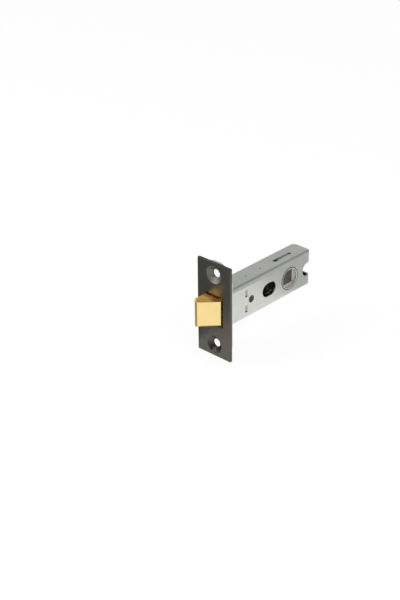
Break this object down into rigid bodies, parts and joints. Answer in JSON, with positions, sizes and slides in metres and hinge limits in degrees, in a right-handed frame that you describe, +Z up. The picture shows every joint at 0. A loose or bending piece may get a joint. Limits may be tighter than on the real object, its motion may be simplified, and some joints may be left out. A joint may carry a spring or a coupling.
{
  "type": "tubular door latch",
  "caption": "Tubular mortice latch with a bevelled brass bolt in a square faceplate, a slim folded steel case and a square-hole follower that draws the bolt back.",
  "frame": {"origin": "centre of the faceplate's front face, midway between the two wood screw holes", "axes": "+Y from the faceplate back along the case, -Y the way the bolt points, +Z up along the faceplate, X across the door's thickness and along the spindle"},
  "size_m": [0.0248, 0.0861, 0.059],
  "materials": {
    "blackened_plate": "satin black nickel",
    "zinc_plate": "zinc plated",
    "zinc_case": "zinc plated",
    "plain_steel": "dull",
    "spring_wire": "bright drawn wire",
    "bolt_brass": "satin polished",
    "cast_hub": "die-cast, plated"
  },
  "bodies": {
    "case": {"faceplate": "blackened_plate", "forend_plate": "zinc_plate", "case_shell": "zinc_case", "case_cover": "zinc_case", "spring_abutment": "zinc_plate", "spring_guide_rod": "plain_steel", "cross_pin": "plain_steel", "bolt_spring": "spring_wire"},
    "bolt": {"latch_bolt": "bolt_brass", "pull_arm_upper": "zinc_plate", "pull_arm_lower": "zinc_plate"},
    "hub": {"follower": "cast_hub"}
  },
  "joints": [
    {"name": "bolt_slide", "type": "slide", "parent": "case", "child": "bolt", "axis": [0, 1, 0], "range_m": [0, 0.0115], "stiffness_N_per_m": 400, "springref_m": -0.015, "deforming": ["bolt_spring"]},
    {"name": "follower_turn", "type": "hinge", "parent": "case", "child": "hub", "pos_m": [0, 0.057, 0], "axis": [-1, 0, 0], "range_deg": [0, 70]}
  ],
  "couplings": [
    {"joint": "follower_turn", "follows": "bolt_slide", "rad_per_m": 106.24}
  ]
}
